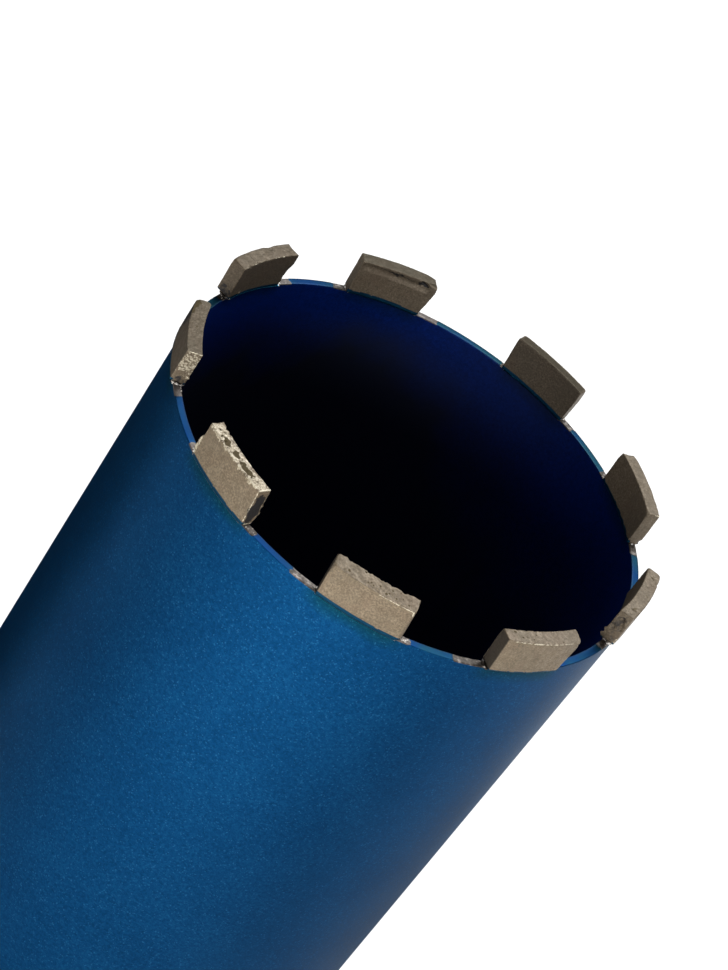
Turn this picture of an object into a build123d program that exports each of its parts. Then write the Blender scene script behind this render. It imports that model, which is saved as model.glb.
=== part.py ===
from build123d import *
import os
from math import cos, radians, tan

# Diamond core bit: a thin steel tube with sintered diamond segments brazed on its rim, closed at
# the other end by a welded back plate that carries a threaded hexagon hub.
# It stands on the hub's end face, with the mouth upwards and the bit's axis on Z.
# All sizes are in millimetres and degrees.

# Cutting ring
cut_diameter = 127.0            # circle swept by the outer faces of the segments
segment_thickness = 3.6
segment_length = 20.8           # across the parallel ends
segment_height = 10.5
segment_count = 9
wide_gap_extra = 4.5            # degrees by which the last gap is wider than the others
first_segment_angle = 76.4
segment_end_round = 0.5
segment_top_chamfer = 0.4
braze_setback = 0.1             # how far the solder under a segment stays inside its faces

# Tube
outer_relief = 0.8              # how far the segments stand out of the tube's outer face
tube_wall = 2.0
tube_length = 300.0

# Back plate
plate_thickness = 8.0
plate_spigot_depth = 4.0        # part of the thickness that enters the tube
plate_edge_chamfer = 1.0
weld_groove = 1.4               # leg of the groove turned on the tube end and on the plate edge
plate_weld_crown = 0.3          # how far the bead stands above the tube

# Hub with a 1 1/4 inch female thread
thread_diameter = 31.75         # major diameter; the bore is plain at this size
thread_entry_chamfer = 1.2
hub_flat_wall = 4.625           # from the thread to the flats, which are 41 mm apart
hub_hex_length = 32.0
hub_face_edge = 0.8             # from the flats in to the flat ring of the end face
hub_corner_chamfer_angle = 30.0
collar_lip = 2.33               # from the hexagon's corners out to the collar's edge
collar_thickness = 4.0
hub_spigot_wall = 4.125
hub_weld_leg = 4.0

# Clearance all round where one turned piece enters another
spigot_clearance = 0.05

# Sizes that follow from the ones above
segment_outer_radius = cut_diameter / 2
segment_inner_radius = segment_outer_radius - segment_thickness
segment_mid_radius = (segment_outer_radius + segment_inner_radius) / 2
segment_pitch = (360 - wide_gap_extra) / segment_count
tube_radius = segment_outer_radius - outer_relief
tube_bore_radius = tube_radius - tube_wall
outer_braze_leg = outer_relief - braze_setback
inner_braze_leg = tube_bore_radius - segment_inner_radius - braze_setback
braze_length = segment_length - 2 * segment_end_round
thread_radius = thread_diameter / 2
hub_flat_radius = thread_radius + hub_flat_wall
hub_corner_radius = hub_flat_radius / cos(radians(30))
hub_face_radius = hub_flat_radius - hub_face_edge
collar_radius = hub_corner_radius + collar_lip
hub_spigot_radius = thread_radius + hub_spigot_wall
plate_bore_radius = hub_spigot_radius + spigot_clearance

# Heights above the hub's end face
collar_base = hub_hex_length
plate_base = collar_base + collar_thickness
plate_top = plate_base + plate_thickness
tube_base = plate_top - plate_spigot_depth
rim_height = tube_base + tube_length

os.makedirs("parts", exist_ok=True)


def finish(builder, name):
    """Label a finished piece and write it."""
    builder.part.label = name
    export_step(builder.part, f"parts/{name}.step")


def segment_angle(number):
    """Angle of a segment's middle, going clockwise as seen from the mouth."""
    return first_segment_angle - number * segment_pitch


# The tube stands on the plate's shoulder; its lower outer edge is turned back for the weld.
with BuildPart() as barrel:
    with BuildSketch(Plane.XZ):
        with BuildLine():
            Polyline(
                (tube_bore_radius, tube_base),
                (tube_radius - weld_groove, tube_base),
                (tube_radius, tube_base + weld_groove),
                (tube_radius, rim_height),
                (tube_bore_radius, rim_height),
                close=True,
            )
        make_face()
    revolve(axis=Axis.Z)
finish(barrel, "barrel")


# Each segment is a block of the cutting ring with parallel ends, seated on the rim and proud of
# the tube on both sides.
for number in range(segment_count):
    with BuildPart() as segment:
        with BuildSketch(Plane.XY.offset(rim_height)):
            Circle(segment_outer_radius)
            Circle(segment_inner_radius, mode=Mode.SUBTRACT)
            with PolarLocations(segment_mid_radius, 1, start_angle=segment_angle(number)):
                Rectangle(segment_mid_radius, segment_length, mode=Mode.INTERSECT)
        extrude(amount=segment_height)
        fillet(segment.edges().filter_by(Axis.Z), segment_end_round)
        chamfer(segment.faces().sort_by(Axis.Z)[-1].edges(), segment_top_chamfer)
    finish(segment, f"segment_{number + 1}")


# Silver solder fills the step that each segment makes with the tube, outside and inside.
for number in range(segment_count):
    with BuildPart() as braze:
        with BuildSketch(Plane.XZ):
            for wall_radius, leg, side in (
                (tube_radius, outer_braze_leg, 1),
                (tube_bore_radius, inner_braze_leg, -1),
            ):
                with BuildLine():
                    Polyline(
                        (wall_radius, rim_height),
                        (wall_radius, rim_height - leg),
                        (wall_radius + side * leg, rim_height),
                        close=True,
                    )
                make_face()
        revolve(axis=Axis.Z)
        with BuildSketch(Plane.XY.offset(rim_height)):
            with PolarLocations(segment_mid_radius, 1, start_angle=segment_angle(number)):
                Rectangle(segment_mid_radius, braze_length)
        extrude(amount=-max(outer_braze_leg, inner_braze_leg), mode=Mode.INTERSECT)
    finish(braze, f"braze_{number + 1}")


# The back plate is turned with a spigot that centres the tube and a shoulder that carries it.
with BuildPart() as back_plate:
    with BuildSketch(Plane.XZ):
        with BuildLine():
            Polyline(
                (plate_bore_radius, plate_base),
                (tube_radius - plate_edge_chamfer, plate_base),
                (tube_radius, plate_base + plate_edge_chamfer),
                (tube_radius, tube_base - weld_groove),
                (tube_radius - weld_groove, tube_base),
                (tube_bore_radius - spigot_clearance, tube_base),
                (tube_bore_radius - spigot_clearance, plate_top),
                (plate_bore_radius, plate_top),
                close=True,
            )
        make_face()
    revolve(axis=Axis.Z)
finish(back_plate, "back_plate")


# The bead fills the groove between plate and tube and stands a little above both.
with BuildPart() as plate_weld:
    with BuildSketch(Plane.XZ):
        with BuildLine():
            Line((tube_radius, tube_base - weld_groove), (tube_radius - weld_groove, tube_base))
            Line((tube_radius - weld_groove, tube_base), (tube_radius, tube_base + weld_groove))
            ThreePointArc(
                (tube_radius, tube_base + weld_groove),
                (tube_radius + plate_weld_crown, tube_base),
                (tube_radius, tube_base - weld_groove),
            )
        make_face()
    revolve(axis=Axis.Z)
finish(plate_weld, "plate_weld")


# The hub is a hexagon with chamfered corners, a collar that seats on the plate, and a spigot that
# passes through the plate, bored from end to end so that water reaches the inside of the tube.
with BuildPart() as hub:
    with BuildSketch():
        RegularPolygon(hub_flat_radius, side_count=6, major_radius=False)
    extrude(amount=hub_hex_length)
    corner_drop = (hub_corner_radius - hub_face_radius) * tan(radians(hub_corner_chamfer_angle))
    with BuildSketch(Plane.XZ):
        with BuildLine():
            Polyline(
                (0, 0),
                (hub_face_radius, 0),
                (hub_corner_radius, corner_drop),
                (hub_corner_radius, hub_hex_length),
                (0, hub_hex_length),
                close=True,
            )
        make_face()
    revolve(axis=Axis.Z, mode=Mode.INTERSECT)
    with BuildSketch(Plane.XY.offset(collar_base)):
        Circle(collar_radius)
    extrude(amount=collar_thickness)
    with BuildSketch(Plane.XY.offset(plate_base)):
        Circle(hub_spigot_radius)
    extrude(amount=plate_thickness)
    with BuildSketch():
        Circle(thread_radius)
    extrude(amount=plate_top, mode=Mode.SUBTRACT)
    thread_mouths = hub.edges().filter_by(GeomType.CIRCLE).sort_by(SortBy.RADIUS)[0:2]
    chamfer(thread_mouths, thread_entry_chamfer)
finish(hub, "hub")


# Fillet weld round the collar, against the plate.
with BuildPart() as hub_weld:
    with BuildSketch(Plane.XZ):
        with BuildLine():
            Line((collar_radius, plate_base - hub_weld_leg), (collar_radius, plate_base))
            Line((collar_radius, plate_base), (collar_radius + hub_weld_leg, plate_base))
            Line(
                (collar_radius + hub_weld_leg, plate_base),
                (collar_radius, plate_base - hub_weld_leg),
            )
        make_face()
    revolve(axis=Axis.Z)
finish(hub_weld, "hub_weld")
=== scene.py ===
import random
from math import atan2, cos, degrees, hypot, pi, radians, remainder, sin, sqrt

import bmesh
import bpy
from mathutils import Matrix, Vector, noise


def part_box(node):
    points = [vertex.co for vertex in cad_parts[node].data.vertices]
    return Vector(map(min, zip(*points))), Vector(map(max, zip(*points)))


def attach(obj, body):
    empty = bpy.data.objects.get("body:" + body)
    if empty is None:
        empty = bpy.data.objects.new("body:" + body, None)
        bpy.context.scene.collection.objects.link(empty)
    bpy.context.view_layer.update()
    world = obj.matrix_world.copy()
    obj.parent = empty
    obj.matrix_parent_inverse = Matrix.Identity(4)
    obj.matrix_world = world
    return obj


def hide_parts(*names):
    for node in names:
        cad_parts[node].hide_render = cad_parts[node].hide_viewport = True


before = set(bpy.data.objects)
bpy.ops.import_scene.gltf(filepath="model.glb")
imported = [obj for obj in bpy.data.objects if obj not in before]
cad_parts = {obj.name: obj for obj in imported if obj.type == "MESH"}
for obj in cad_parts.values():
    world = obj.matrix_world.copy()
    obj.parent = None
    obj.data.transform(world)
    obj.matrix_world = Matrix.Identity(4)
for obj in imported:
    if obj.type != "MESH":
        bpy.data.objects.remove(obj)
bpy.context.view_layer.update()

# ---------------------------------------------------------------- sizes of the bit, in metres
MM = 0.001
TUBE_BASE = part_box("barrel")[0][2]
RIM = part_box("barrel")[1][2]
TUBE_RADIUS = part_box("barrel")[1][0]
TUBE_WALL = 2.0 * MM
TUBE_BORE = TUBE_RADIUS - TUBE_WALL
WELD_GROOVE = 1.4 * MM
CUT_RADIUS = 63.5 * MM
SEGMENT_THICKNESS = 3.6 * MM
SEGMENT_LENGTH = 20.8 * MM
SEGMENT_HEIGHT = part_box("segment_1")[1][2] - RIM
SEGMENT_MIDDLE = CUT_RADIUS - SEGMENT_THICKNESS / 2
PLATE_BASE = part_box("back_plate")[0][2]
PLATE_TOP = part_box("back_plate")[1][2]
THREAD_RADIUS = 15.875 * MM
THREAD_PITCH = 25.4 * MM / 7
COLLAR_RADIUS = 26.0 * MM
HUB_WELD_LEG = 4.0 * MM
WALL_MIDDLE = (TUBE_RADIUS + TUBE_BORE) / 2
SEGMENTS = 9
RING_STEPS = 900                # faces round every full ring

# The stains' ragged outlines come from vector noise, which takes its offsets from the clock if unseeded.
STAIN_SEED = 1795454872
noise.seed_set(STAIN_SEED)


# ---------------------------------------------------------------- node and mesh helpers
def add(tree, kind, inputs=None, **settings):
    """Add a node; an input that is a socket is linked, any other is set."""
    made = tree.nodes.new(kind)
    for key, value in settings.items():
        setattr(made, key, value)
    for key, value in (inputs or {}).items():
        if isinstance(value, bpy.types.NodeSocket):
            tree.links.new(value, made.inputs[key])
        else:
            made.inputs[key].default_value = value
    return made


def finish_of(name):
    """A new material: its tree and its shader."""
    material = bpy.data.materials.new(name)
    material.use_nodes = True
    tree = material.node_tree
    return material, tree, tree.nodes["Principled BSDF"]


def object_place(tree):
    """Where a point of the surface lies on the bit."""
    return add(tree, "ShaderNodeTexCoord").outputs["Object"]


def facing_up(tree):
    """How far a surface faces upwards, from -1 to 1."""
    normal = add(tree, "ShaderNodeNewGeometry").outputs["Normal"]
    return add(tree, "ShaderNodeSeparateXYZ", {"Vector": normal}).outputs["Z"]


def grain(tree, place, size, detail=2.0, roughness=0.5):
    """Noise whose lumps are about this size across."""
    inputs = {"Vector": place, "Scale": 0.5 / size, "Detail": detail, "Roughness": roughness}
    return add(tree, "ShaderNodeTexNoise", inputs).outputs["Fac"]


def ramp(tree, value, stops):
    """Colour ramp through (position, colour) stops."""
    made = add(tree, "ShaderNodeValToRGB", {"Fac": value})
    elements = made.color_ramp.elements
    while len(elements) < len(stops):
        elements.new(0.5)
    for element, (position, colour) in zip(elements, stops):
        element.position = position
        element.color = (*colour, 1)
    return made.outputs["Color"]


def steps(tree, value, low, high, out_low=0.0, out_high=1.0):
    """Map a value between two limits, smoothly and clamped."""
    limits = {"From Min": low, "From Max": high, "To Min": out_low, "To Max": out_high}
    return add(tree, "ShaderNodeMapRange", {"Value": value, **limits},
               interpolation_type="SMOOTHSTEP").outputs["Result"]


def maths(tree, operation, a, b):
    """One sum on two values, each a socket or a number."""
    return add(tree, "ShaderNodeMath", {0: a, 1: b}, operation=operation).outputs[0]


def share_of(tree, value, amount):
    """A value times an amount."""
    return maths(tree, "MULTIPLY", value, amount)


def blend_colours(tree, factor, a, b, mode="MIX"):
    """Colour a where the factor is 0 and colour b where it is 1."""
    made = add(tree, "ShaderNodeMix", data_type="RGBA", blend_type=mode)
    sockets = {"Factor": made.inputs[0], "A": made.inputs[6], "B": made.inputs[7]}
    for key, value in (("Factor", factor), ("A", a), ("B", b)):
        if isinstance(value, bpy.types.NodeSocket):
            tree.links.new(value, sockets[key])
        else:
            sockets[key].default_value = value if key == "Factor" else (*value, 1)
    return made.outputs[2]


def object_of(name, bm):
    """Put a bmesh into the scene as an object."""
    mesh = bpy.data.meshes.new(name)
    bm.to_mesh(mesh)
    bm.free()
    made = bpy.data.objects.new(name, mesh)
    bpy.context.scene.collection.objects.link(made)
    return made


def piece(name, bm, material, replaced=(), smooth_angle=35):
    """Make a finished piece of a bmesh: it rides on the bit and takes its finish from a slot."""
    made = object_of(name, bm)
    mesh = made.data
    mesh.materials.append(material)
    mesh.shade_smooth()
    mesh.set_sharp_from_angle(angle=radians(smooth_angle))
    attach(made, "root")
    if replaced:
        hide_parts(*replaced)


def turn(bm, verts, angle):
    """Turn some points of a mesh round the bit's axis."""
    bmesh.ops.rotate(bm, cent=(0, 0, 0), matrix=Matrix.Rotation(angle, 3, "Z"), verts=verts)


def ring_of(outline):
    """Spin a closed outline of (radius, height) points round the bit's axis."""
    bm = bmesh.new()
    corners = [bm.verts.new((radius, 0, height)) for radius, height in outline]
    edges = [bm.edges.new(pair) for pair in zip(corners, corners[1:] + corners[:1])]
    bmesh.ops.spin(bm, geom=corners + edges, cent=(0, 0, 0), axis=(0, 0, 1), dvec=(0, 0, 0),
                   angle=2 * pi, steps=RING_STEPS, use_merge=True, use_normal_flip=False,
                   use_duplicate=False)
    bmesh.ops.remove_doubles(bm, verts=bm.verts, dist=1e-6)
    bmesh.ops.recalc_face_normals(bm, faces=bm.faces)
    return bm


def segment_angle(number):
    """Angle of a segment's middle, from where the segment stands."""
    corners = [v.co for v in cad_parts[f"segment_{number}"].data.vertices]
    middle = sum(corners, Vector()) / len(corners)
    return atan2(middle.y, middle.x)


ANGLES = {number: segment_angle(number) for number in range(1, SEGMENTS + 1)}


# ---------------------------------------------------------------- camera
def set_camera():
    """The camera looks down into the mouth and is rolled, so that the bit leans across the view."""
    place = Vector((0.0004, -0.4986, 0.6714))
    ahead = Vector((-0.0116, 0.82257, -0.56855))
    roll = radians(35.25)
    camera = bpy.data.objects.new("camera", bpy.data.cameras.new("camera"))
    bpy.context.scene.collection.objects.link(camera)
    camera.data.sensor_width = 36
    camera.data.lens = 93.92
    camera.data.clip_start = 0.01
    camera.location = place
    level = ahead.to_track_quat("-Z", "Y").to_matrix().to_4x4()
    camera.matrix_world = Matrix.Translation(place) @ level @ Matrix.Rotation(roll, 4, "Z")
    bpy.context.scene.camera = camera


# ---------------------------------------------------------------- finishes
def marked(tree, name):
    """How strongly a kind of wear is marked on the mesh, from 0 to 1."""
    return add(tree, "ShaderNodeAttribute", attribute_name=name).outputs["Fac"]


def wobble(tree, value, amount):
    """Turn noise about one half into a shift about nothing."""
    return share_of(tree, maths(tree, "SUBTRACT", value, 0.5), amount)


def ragged_mark(tree, kind, shift, edge, faintest):
    """Where a kind of wear shows: its mark on the mesh, with an edge made ragged by a shift."""
    mark = marked(tree, kind)
    shown = steps(tree, maths(tree, "ADD", mark, shift), *edge)
    return maths(tree, "MULTIPLY", shown, steps(tree, mark, *faintest))


def raise_grain(tree, shader, height, strength, distance):
    """Raise a finish's grain by its height."""
    bump = add(tree, "ShaderNodeBump", {"Height": height, "Strength": strength, "Distance": distance})
    tree.links.new(bump.outputs["Normal"], shader.inputs["Normal"])


def flaked_blue(tree, place, speck):
    """Blue with bright flakes outside and a deeper blue inside that is painted dark below some depth as
    painted shade, and the height of the flakes.
    """
    cells = add(tree, "ShaderNodeTexVoronoi", {"Vector": place, "Scale": 1 / (0.3 * MM)})
    flake = add(tree, "ShaderNodeSeparateColor", {"Color": cells.outputs["Color"]}).outputs
    height = maths(tree, "ADD", share_of(tree, flake[0], 0.32), share_of(tree, speck, 0.68))
    height = maths(tree, "ADD", height, wobble(tree, grain(tree, place, 10 * MM, 3), 0.35))
    outside = ramp(tree, height, [(0.2, (0.0016, 0.044, 0.135)), (0.5, (0.003, 0.06, 0.18)),
                                  (0.85, (0.007, 0.094, 0.245))])
    glint = steps(tree, flake[1], 0.93, 0.99)
    outside = blend_colours(tree, share_of(tree, glint, 0.34), outside, (0.04, 0.24, 0.5))
    inside = ramp(tree, height, [(0.2, (0.0005, 0.018, 0.15)), (0.85, (0.002, 0.036, 0.32))])
    # Painted light and shade inside the tube: lit blue near the mouth, painted dark deeper down.
    inside = blend_colours(tree, marked(tree, "painted_light_inside"), (0.026, 0.034, 0.07), inside)
    return blend_colours(tree, marked(tree, "inside"), outside, inside), height


def ground_steel(tree, place):
    """Steel laid bare by grinding beside the segments, bright in places and dull in others."""
    steel = ramp(tree, grain(tree, place, 0.7 * MM, 4, 0.65),
                 [(0.34, (0.02, 0.017, 0.014)), (0.5, (0.06, 0.05, 0.044)), (0.68, (0.26, 0.235, 0.22))])
    dull = steps(tree, grain(tree, place, 12 * MM, 2), 0.45, 0.62, 0, 0.7)
    return blend_colours(tree, dull, steel, (0.11, 0.095, 0.09))


def painted_shade_at_bottom(tree, place):
    """The plate's face at the bottom of the tube, given a dark steel colour as painted shade: 1 there, 0
    elsewhere.
    """
    height = add(tree, "ShaderNodeSeparateXYZ", {"Vector": place}).outputs["Z"]
    deep = steps(tree, height, PLATE_TOP, RIM - 20 * MM, 1, 0)
    return maths(tree, "MULTIPLY", steps(tree, facing_up(tree), 0.6, 0.8), deep)


def blue_paint():
    """Baked metallic blue, scorched where the segments were brazed on and ground off in places."""
    material, tree, shader = finish_of("blue_paint")
    place = object_place(tree)
    speck = grain(tree, place, 0.45 * MM, 2)
    colour, flakes = flaked_blue(tree, place, speck)
    scuff = steps(tree, grain(tree, place, 7 * MM, 3), 0.4, 0.62)
    on_flat = blend_colours(tree, scuff, (0.001, 0.023, 0.088), (0.004, 0.036, 0.062))
    colour = blend_colours(tree, marked(tree, "flat"), colour, on_flat)
    colour = blend_colours(tree, marked(tree, "scorched"), colour, (1.1, 0.84, 0.5), "MULTIPLY")
    # Painted shade on the plate's face at the bottom of the tube.
    colour = blend_colours(tree, painted_shade_at_bottom(tree, place), colour, (0.03, 0.027, 0.025))
    bared = ragged_mark(tree, "bare", wobble(tree, speck, 0.7), (0.42, 0.52), (0.02, 0.1))
    colour = blend_colours(tree, bared, colour, ground_steel(tree, place))
    tree.links.new(colour, shader.inputs["Base Color"])
    metal = maths(tree, "SUBTRACT", 0.95, share_of(tree, bared, 0.45))
    metal = maths(tree, "SUBTRACT", metal, share_of(tree, marked(tree, "inside"), 0.18))
    tree.links.new(metal, shader.inputs["Metallic"])
    rough = maths(tree, "ADD", 0.36, share_of(tree, speck, 0.14))
    tree.links.new(rough, shader.inputs["Roughness"])
    shader.inputs["Specular Tint"].default_value = (0.66, 0.66, 0.62, 1)
    raise_grain(tree, shader, flakes, 0.15, 0.04 * MM)
    return material


def pressed_grit(tree, place, grit):
    """Bare sintered metal: tan grains with duller clouds and a little rust."""
    colour = ramp(tree, grit, [(0.3, (0.088, 0.067, 0.043)), (0.5, (0.153, 0.117, 0.077)),
                               (0.68, (0.24, 0.19, 0.132))])
    cloud = steps(tree, grain(tree, place, 4 * MM, 3), 0.38, 0.62, 0, 0.3)
    colour = blend_colours(tree, cloud, colour, (0.128, 0.105, 0.073))
    rust = steps(tree, grain(tree, place, 2.6 * MM, 3), 0.5, 0.66, 0, 0.25)
    return blend_colours(tree, rust, colour, (0.155, 0.105, 0.07))


def sintered_metal():
    """Diamond grit in sintered metal, with shiny burrs that carry a painted highlight, smears, stains and
    a painted shadow, painted shade on whole faces, and crept paint.
    """
    material, tree, shader = finish_of("sintered_metal")
    place = object_place(tree)
    fine = grain(tree, place, 0.22 * MM, 2, 0.6)
    middling = grain(tree, place, 0.9 * MM, 4, 0.65)
    grit = maths(tree, "ADD", share_of(tree, fine, 0.8), share_of(tree, middling, 0.2))
    smear_shift = maths(tree, "ADD", wobble(tree, middling, 1.0), wobble(tree, fine, 1.8))
    smeared = ragged_mark(tree, "bright", smear_shift, (0.3, 0.55), (0.02, 0.15))
    # Painted highlight: burred edges are coloured light tan and made less rough where they stand for
    # glints.
    burr_highlight = ragged_mark(tree, "painted_burr_highlight", wobble(tree, fine, 0.8), (0.35, 0.75), (0.05, 0.2))
    stain_and_shadow = ragged_mark(tree, "dark", wobble(tree, middling, 1.3), (0.25, 0.6), (0.02, 0.2))
    painted = steps(tree, marked(tree, "painted"), 0.3, 0.7)
    on_top = steps(tree, facing_up(tree), 0.5, 0.8)
    smear = ramp(tree, grit, [(0.34, (0.17, 0.14, 0.095)), (0.5, (0.33, 0.28, 0.2)),
                              (0.62, (0.52, 0.47, 0.37))])
    # Painted shade: the "dull" mark darkens whole faces to a dark grey, olive on tops.
    face_shade_colour = blend_colours(tree, on_top, (0.012, 0.012, 0.013), (0.012, 0.011, 0.003))
    stain = blend_colours(tree, on_top, (0.028, 0.026, 0.026), (0.056, 0.042, 0.02))
    colour = pressed_grit(tree, place, grit)
    for shown, over in ((smeared, smear), (marked(tree, "dull"), face_shade_colour), (stain_and_shadow, stain),
                        (burr_highlight, (0.52, 0.47, 0.36)), (painted, (0.004, 0.05, 0.1))):
        colour = blend_colours(tree, shown, colour, over)
    tree.links.new(colour, shader.inputs["Base Color"])
    metal = maths(tree, "ADD", 0.35, share_of(tree, painted, 0.55))
    tree.links.new(metal, shader.inputs["Metallic"])
    rough = steps(tree, middling, 0.3, 0.7, 0.62, 0.45)
    rough = maths(tree, "SUBTRACT", rough, share_of(tree, burr_highlight, 0.2))
    tree.links.new(rough, shader.inputs["Roughness"])
    matt = maths(tree, "MAXIMUM", marked(tree, "dull"), stain_and_shadow)
    gloss = maths(tree, "SUBTRACT", 0.5, share_of(tree, matt, 0.42))
    tree.links.new(gloss, shader.inputs["Specular IOR Level"])
    raise_grain(tree, shader, grit, 0.4, 0.1 * MM)
    return material


def silver_solder():
    """Silver solder, bright on its drops, dull in its hollows, painted over where it lies outside."""
    material, tree, shader = finish_of("silver_solder")
    place = object_place(tree)
    lumps = grain(tree, place, 0.4 * MM, 3)
    cloud = grain(tree, place, 1.8 * MM, 2)
    shine = maths(tree, "ADD", share_of(tree, lumps, 0.5), share_of(tree, cloud, 0.5))
    colour = ramp(tree, shine, [(0.42, (0.045, 0.036, 0.03)), (0.5, (0.32, 0.29, 0.26)),
                                (0.58, (0.85, 0.82, 0.78))])
    ragged = maths(tree, "ADD", marked(tree, "painted"), wobble(tree, lumps, 0.5))
    painted = steps(tree, ragged, 0.4, 0.55)
    colour = blend_colours(tree, painted, colour, (0.003, 0.06, 0.12))
    tree.links.new(colour, shader.inputs["Base Color"])
    metal = maths(tree, "ADD", 0.45, share_of(tree, painted, 0.5))
    tree.links.new(metal, shader.inputs["Metallic"])
    tree.links.new(steps(tree, lumps, 0.3, 0.7, 0.45, 0.28), shader.inputs["Roughness"])
    return material


def hub_steel():
    """Milled and turned steel with fine tool lines and faint stains."""
    material, tree, shader = finish_of("hub_steel")
    place = object_place(tree)
    streaks = add(tree, "ShaderNodeMapping", {"Vector": place, "Scale": (0.15, 0.15, 1.0)})
    lines = grain(tree, streaks.outputs["Vector"], 0.25 * MM, 3)
    stain = grain(tree, place, 4 * MM, 4)
    colour = ramp(tree, stain, [(0.3, (0.28, 0.27, 0.26)), (0.7, (0.5, 0.49, 0.47))])
    tree.links.new(colour, shader.inputs["Base Color"])
    shader.inputs["Metallic"].default_value = 1.0
    tree.links.new(steps(tree, stain, 0.3, 0.7, 0.42, 0.28), shader.inputs["Roughness"])
    raise_grain(tree, shader, lines, 0.25, 0.03 * MM)
    return material


PAINT = blue_paint()
SINTER = sintered_metal()
SOLDER = silver_solder()
STEEL = hub_steel()


# ---------------------------------------------------------------- wear on the cutting segments
# A place on a segment is (across, along, up) in millimetres: across is 0 in the middle of its thickness
# and positive outwards, along is 0 in the middle of its length, up is 0 on the rim.
OUT = SEGMENT_THICKNESS / 2 / MM
IN = -OUT
END = SEGMENT_LENGTH / 2 / MM
TOP = SEGMENT_HEIGHT / MM

# The segments were not pressed quite alike: (times the thickness, mm outwards, times the height).
PRESSED = {1: (1.0, 0, 0.99), 2: (1.0, 0, 0.955), 3: (1.0, 0, 0.965), 4: (1.0, 0, 0.99),
           5: (1.0, 0, 1.0), 6: (1.0, 0, 0.965), 7: (1.02, 0.25, 0.95), 8: (1.15, 0.45, 1.0),
           9: (1.04, 0, 1.0)}

# Nor are their ends quite square. How far each end lies along the rim from its even place, in mm:
# (foot and top of the end at -along, foot and top of the end at +along).
SLANTED = {1: (-0.35, 0, -0.15, 0.6), 2: (-0.5, 0, 0.4, 0.7), 3: (-0.7, -1.0, 0, 0.3),
           4: (0.7, 0, -0.3, 1.0), 5: (0.3, -0.35, 0.7, -0.2), 6: (0.7, 0.3, 0.85, 0.05),
           7: (-0.5, -0.5, -0.6, -0.2), 8: (0.4, 0.4, 0.4, 0.9), 9: (-0.35, -0.4, 0.1, 0.7)}

# Edges and corners that are worn rounder: (from, to, reach, radius).
WORN_ROUND = {
    1: [((0, END, TOP), (0, END, TOP), 2.6, 1.0), ((0, -END, TOP), (0, -END, TOP), 2.6, 0.9),
        ((OUT, -END, TOP), (OUT, END, TOP), 1.6, 0.8)],
    2: [((0, END, TOP), (0, END, TOP), 3.0, 1.25), ((IN, -END, TOP), (IN, -END, TOP), 3.0, 0.9)],
    3: [((OUT, END, TOP), (IN, END, TOP), 2.2, 0.6)],
    4: [((0, END, TOP), (0, END, TOP), 2.4, 0.8), ((IN, -END, TOP), (IN, -END, TOP), 2.0, 0.6)],
    5: [((OUT, -END, TOP), (OUT, -5.5, TOP), 4.5, 1.5), ((0, END, TOP), (0, END, TOP), 2.6, 0.95),
        ((OUT, END, 0), (OUT, END, TOP), 1.8, 0.8), ((IN, -END, TOP), (IN, -END, TOP), 2.4, 0.9)],
    6: [((0, -END, TOP), (0, -END, TOP), 1.8, 0.6)],
    7: [((OUT, -END, TOP), (OUT, -END, TOP), 3.2, 1.1), ((IN, -END, TOP), (IN, -END, TOP), 2.0, 0.7)],
    8: [((0, -END, TOP), (0, -END, TOP), 2.2, 0.7), ((OUT, END, TOP), (OUT, END, TOP), 2.0, 0.7),
        ((0, END, 0), (0, END, 0), 2.2, 0.8)],
    9: [((0, -END, TOP), (0, -END, TOP), 3.4, 1.35)],
}

# Flats ground or broken off: (a place on the flat, the way it faces).
SHAVED = {
    1: [((0, -END + 0.35, 3), (0, -1, -0.08)), ((IN, 0, TOP), (0.14, 0, 0.99))],
    3: [((0, -END + 0.5, 2.0), (0.1, -0.95, -0.18)), ((OUT, -END + 0.3, 2.2), (0.55, -0.8, -0.25))],
    4: [((OUT, END - 0.25, 8.6), (0.5, 0.8, 0.2)), ((IN, -2.0, TOP), (0.08, 0.03, 0.99))],
    5: [((IN + 0.3, 0, TOP), (0.33, 0, 0.94))],
    6: [((IN, END - 0.3, 1.5), (-0.6, 0.75, -0.2))],
    7: [((IN, 0, TOP), (0.12, 0, 0.99))],
    8: [((0, -END + 0.7, 3.4), (0, -1, -0.18)), ((0, END - 0.5, 0.4), (0, 0.7, -0.7))],
    9: [((0, -END + 0.5, 4.8), (0, -1, -0.12)), ((IN + 0.3, -9.0, TOP - 0.5), (-0.6, -0.25, 0.75))],
}

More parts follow.
